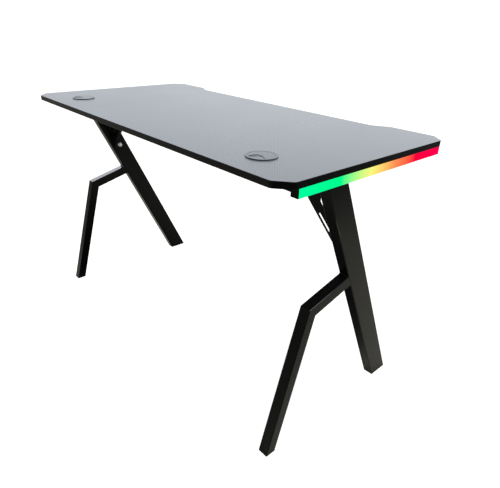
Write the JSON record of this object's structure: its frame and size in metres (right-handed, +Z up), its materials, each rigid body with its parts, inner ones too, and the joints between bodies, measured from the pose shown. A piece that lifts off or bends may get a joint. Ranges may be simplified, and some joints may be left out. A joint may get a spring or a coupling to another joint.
{
  "type": "gaming desk",
  "caption": "Gaming desk with a rectangular board with cut corners and a front recess, on leaning forked steel legs, with round cable grommets and glowing light bars under its ends.",
  "frame": {"origin": "on the floor under the middle of the board", "axes": "+X along the length, +Y towards the side where a person sits, +Z up"},
  "size_m": [1.2, 0.6, 0.7376],
  "materials": {
    "particle_board": "raw",
    "twill_laminate": "fine twill print, satin",
    "backing_foil": "matte",
    "edge_band": "satin",
    "frame_paint": "powder coat",
    "zinc": "zinc plated",
    "black_plastic": "moulded",
    "black_aluminium": "black anodised",
    "glowing_diffuser": "opal",
    "strip_white": "printed",
    "chip_yellow": "cast resin",
    "grommet_plastic": "satin gloss",
    "circuit_green": "solder mask",
    "button_plastic": "moulded",
    "socket_steel": "nickel plated",
    "lead_rubber": "matte"
  },
  "bodies": {
    "desk": {"backing_foil": "backing_foil", "beam_bolts": "zinc", "beam_nuts": "zinc", "board_core": "particle_board", "bracket_bolts_left": "zinc", "bracket_bolts_right": "zinc", "bracket_nuts_left": "zinc", "bracket_nuts_right": "zinc", "bracket_plate_left": "frame_paint", "bracket_plate_right": "frame_paint", "branch_arm_left": "frame_paint", "branch_arm_right": "frame_paint", "branch_foot_glide_left": "black_plastic", "branch_foot_glide_right": "black_plastic", "branch_post_left": "frame_paint", "branch_post_right": "frame_paint", "control_case": "black_plastic", "control_circuit": "circuit_green", "control_cover": "black_plastic", "control_screws": "zinc", "control_switch": "black_plastic", "crossbeam": "frame_paint", "diffuser_left": "glowing_diffuser", "diffuser_right": "glowing_diffuser", "edge_band": "edge_band", "grommet_liner_left": "grommet_plastic", "grommet_liner_right": "grommet_plastic", "gusset_web_left": "frame_paint", "gusset_web_right": "frame_paint", "lead_clips": "black_plastic", "led_chips_left": "chip_yellow", "led_chips_right": "chip_yellow", "led_strip_left": "strip_white", "led_strip_right": "strip_white", "light_channel_left": "black_aluminium", "light_channel_right": "black_aluminium", "light_end_caps_left": "black_plastic", "light_end_caps_right": "black_plastic", "light_lead_left": "lead_rubber", "light_lead_right": "lead_rubber", "light_screws_left": "zinc", "light_screws_right": "zinc", "main_foot_glide_left": "black_plastic", "main_foot_glide_right": "black_plastic", "main_leg_left": "frame_paint", "main_leg_right": "frame_paint", "power_socket": "socket_steel", "rail_caps_left": "black_plastic", "rail_caps_right": "black_plastic", "rail_screws_left": "zinc", "rail_screws_right": "zinc", "top_laminate": "twill_laminate", "top_rail_left": "frame_paint", "top_rail_right": "frame_paint"},
    "lid_right": {"grommet_lid_right": "grommet_plastic"},
    "lid_left": {"grommet_lid_left": "grommet_plastic"},
    "shutter_right": {"grommet_shutter_right": "grommet_plastic"},
    "shutter_left": {"grommet_shutter_left": "grommet_plastic"},
    "mode_button": {"mode_button": "button_plastic"}
  },
  "joints": [
    {"name": "lid_turn_right", "type": "hinge", "parent": "desk", "child": "lid_right", "pos_m": [0.438, -0.2015, 0.7369], "axis": [0, 0, 1], "continuous": true},
    {"name": "shutter_turn_right", "type": "hinge", "parent": "lid_right", "child": "shutter_right", "pos_m": [0.438, -0.2015, 0.7354], "axis": [0, 0, 1], "range_deg": [0, 72]},
    {"name": "lid_turn_left", "type": "hinge", "parent": "desk", "child": "lid_left", "pos_m": [-0.438, -0.2015, 0.7369], "axis": [0, 0, 1], "continuous": true},
    {"name": "shutter_turn_left", "type": "hinge", "parent": "lid_left", "child": "shutter_left", "pos_m": [-0.438, -0.2015, 0.7354], "axis": [0, 0, 1], "range_deg": [0, 72]},
    {"name": "mode_button_press", "type": "slide", "parent": "desk", "child": "mode_button", "axis": [0, 0, 1], "range_m": [0, 0.001], "stiffness_N_per_m": 400, "springref_m": -0.001}
  ]
}
